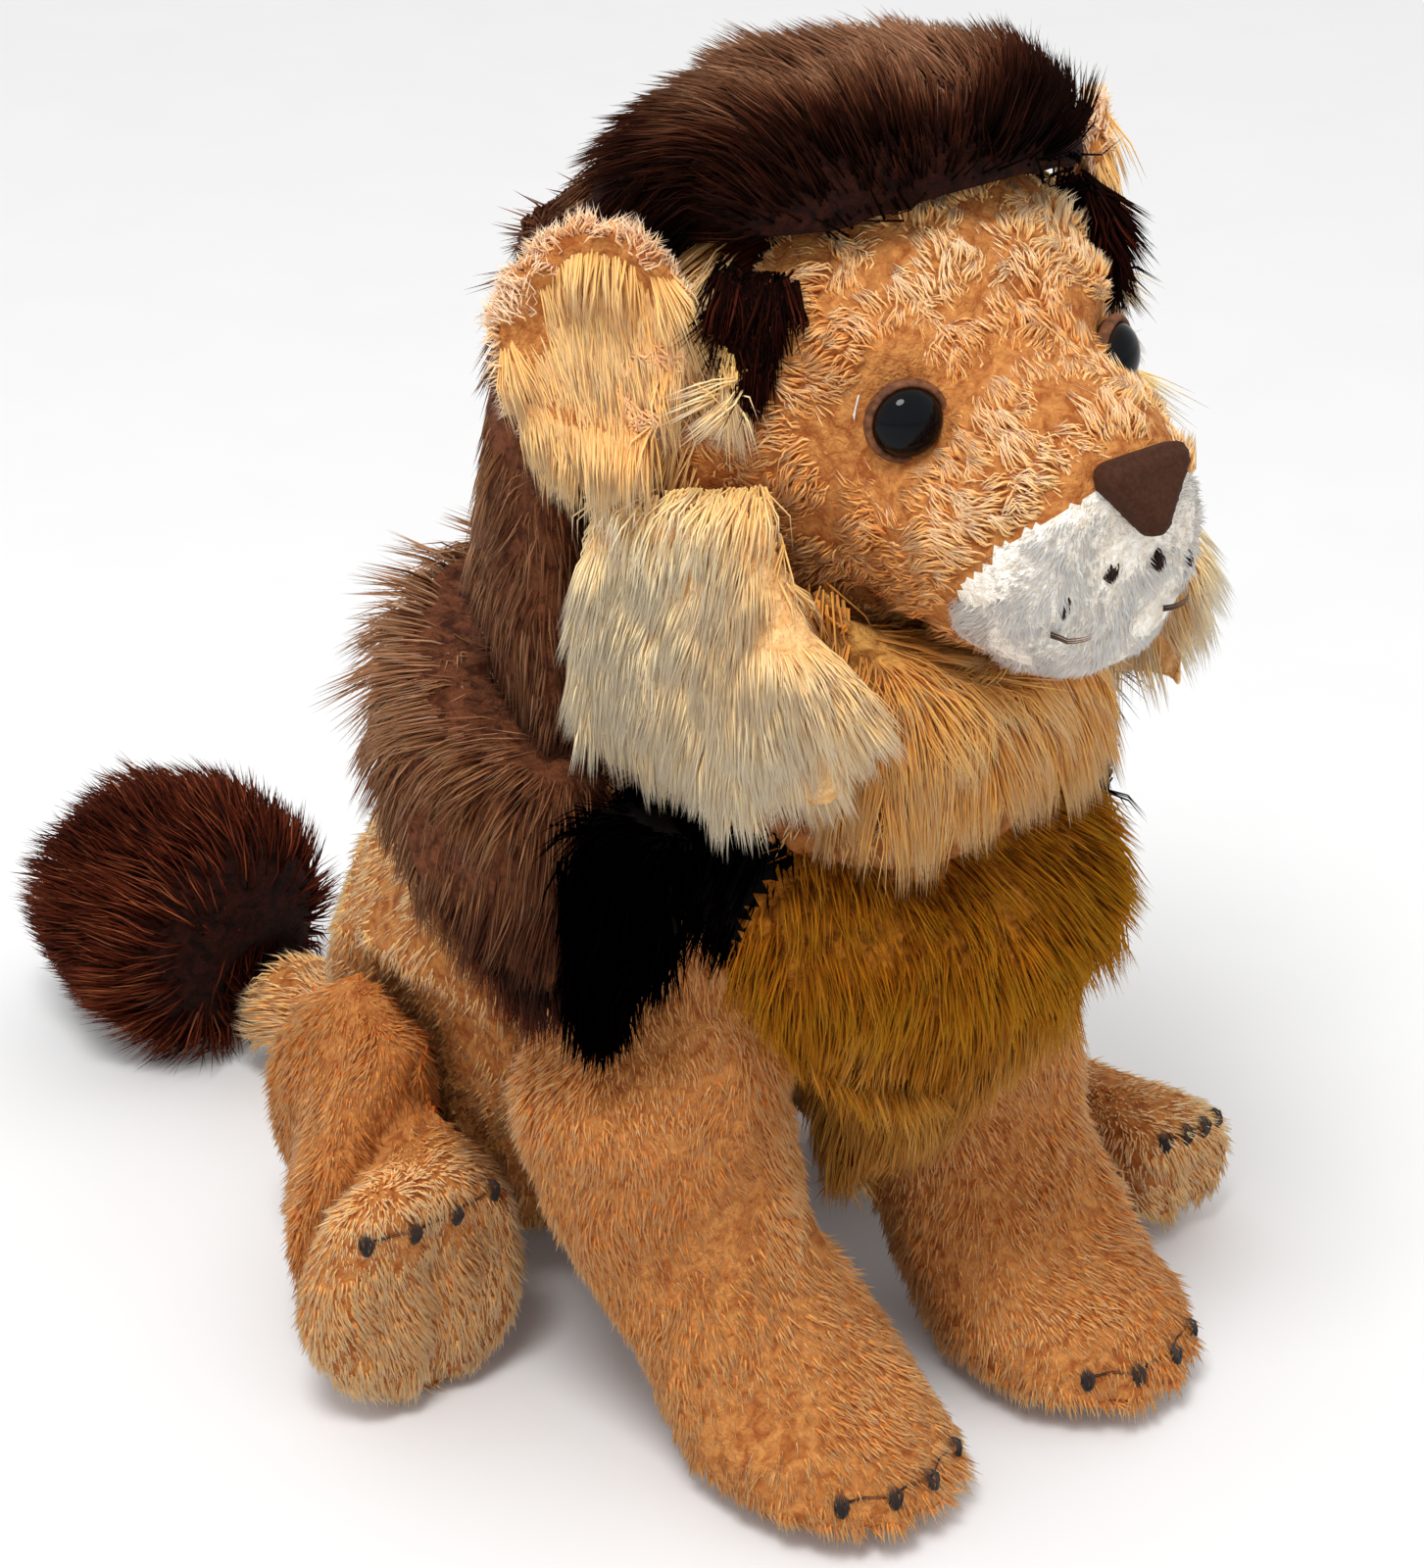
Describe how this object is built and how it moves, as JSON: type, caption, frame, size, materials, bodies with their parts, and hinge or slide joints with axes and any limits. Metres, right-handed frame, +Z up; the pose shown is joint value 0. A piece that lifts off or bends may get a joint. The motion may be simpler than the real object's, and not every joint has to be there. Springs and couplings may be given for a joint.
{
  "type": "plush lion",
  "caption": "Seated plush lion with a long-pile mane, safety eyes, a turning head, swinging legs, folding ears and a tufted tail.",
  "frame": {"origin": "middle of the flat seat patch under the rump", "axes": "+Z up, the lion faces -Y, its left side is +X"},
  "size_m": [0.159, 0.245, 0.214],
  "materials": {
    "tan_plush": "short curly plush",
    "sand_plush": "short curly plush",
    "cream_fur": "long pile",
    "dark_brown_fur": "long pile",
    "umber_fur": "long pile",
    "near_black_fur": "long pile",
    "golden_fur": "long pile",
    "ochre_fur": "long pile",
    "white_plush": "short plush",
    "nose_plastic": "flocked, matt",
    "eye_plastic": "polished",
    "washer_plastic": "moulded",
    "thread": "satin stitch",
    "fibre": "polyester fibre",
    "bag_cloth": "plain weave"
  },
  "bodies": {
    "torso": {"torso_skin": "tan_plush", "torso_stuffing": "fibre", "seat_pellet_bag": "bag_cloth", "shoulder_mane": "umber_fur", "side_mane_right": "near_black_fur", "side_mane_left": "near_black_fur", "chest_bib": "ochre_fur"},
    "head": {"head_skin": "tan_plush", "head_stuffing": "fibre", "neck_skin": "tan_plush", "neck_stuffing": "fibre", "muzzle_panel": "white_plush", "nose": "nose_plastic", "nose_lock_washer": "washer_plastic", "mouth_stitch_right": "thread", "mouth_stitch_left": "thread", "whisker_stitch_right_1": "thread", "whisker_stitch_right_2": "thread", "whisker_stitch_right_3": "thread", "whisker_stitch_left_1": "thread", "whisker_stitch_left_2": "thread", "whisker_stitch_left_3": "thread", "eye_right": "eye_plastic", "eye_left": "eye_plastic", "eye_lock_washer_right": "washer_plastic", "eye_lock_washer_left": "washer_plastic", "mane_crest": "dark_brown_fur", "nape_mane": "umber_fur", "cheek_ruff_right": "cream_fur", "cheek_ruff_left": "cream_fur", "throat_ruff": "golden_fur"},
    "right_ear": {"ear_right": "sand_plush", "ear_lining_right": "cream_fur"},
    "left_ear": {"ear_left": "sand_plush", "ear_lining_left": "cream_fur"},
    "right_foreleg": {"foreleg_right_skin": "tan_plush", "foreleg_right_stuffing": "fibre", "foreleg_claws_right": "thread"},
    "left_foreleg": {"foreleg_left_skin": "tan_plush", "foreleg_left_stuffing": "fibre", "foreleg_claws_left": "thread"},
    "right_hindleg": {"hindleg_right_skin": "tan_plush", "hindleg_right_stuffing": "fibre", "hindleg_claws_right": "thread"},
    "left_hindleg": {"hindleg_left_skin": "tan_plush", "hindleg_left_stuffing": "fibre", "hindleg_claws_left": "thread"},
    "tail": {"tail_skin": "tan_plush", "tail_stuffing": "fibre", "tail_tuft": "dark_brown_fur"}
  },
  "joints": [
    {"name": "head_turn", "type": "hinge", "parent": "torso", "child": "head", "pos_m": [0, -0.062, 0.116], "axis": [0, -0.1392, 0.9903], "range_deg": [-25, 25], "stiffness_Nm_per_rad": 3},
    {"name": "ear_fold_right", "type": "hinge", "parent": "head", "child": "right_ear", "pos_m": [-0.03487, -0.08694, 0.18], "axis": [0, 0, -1], "range_deg": [-15, 15], "stiffness_Nm_per_rad": 0.4},
    {"name": "ear_fold_left", "type": "hinge", "parent": "head", "child": "left_ear", "pos_m": [0.03501, -0.08694, 0.18], "axis": [0, 0, 1], "range_deg": [-15, 15], "stiffness_Nm_per_rad": 0.4},
    {"name": "foreleg_swing_right", "type": "hinge", "parent": "torso", "child": "right_foreleg", "pos_m": [-0.03, -0.066, 0.078], "axis": [1, 0, 0], "range_deg": [-15, 0], "stiffness_Nm_per_rad": 4},
    {"name": "foreleg_swing_left", "type": "hinge", "parent": "torso", "child": "left_foreleg", "pos_m": [0.03, -0.066, 0.078], "axis": [1, 0, 0], "range_deg": [-15, 0], "stiffness_Nm_per_rad": 4},
    {"name": "hindleg_swing_right", "type": "hinge", "parent": "torso", "child": "right_hindleg", "pos_m": [-0.037, -0.014, 0.0295], "axis": [1, 0, 0], "range_deg": [-10, 5], "stiffness_Nm_per_rad": 4},
    {"name": "hindleg_swing_left", "type": "hinge", "parent": "torso", "child": "left_hindleg", "pos_m": [0.037, -0.014, 0.0295], "axis": [1, 0, 0], "range_deg": [-10, 5], "stiffness_Nm_per_rad": 4},
    {"name": "tail_swing", "type": "hinge", "parent": "torso", "child": "tail", "pos_m": [-0.004, 0.0312, 0.014], "axis": [0, 0, 1], "range_deg": [-20, 20], "stiffness_Nm_per_rad": 0.6}
  ]
}
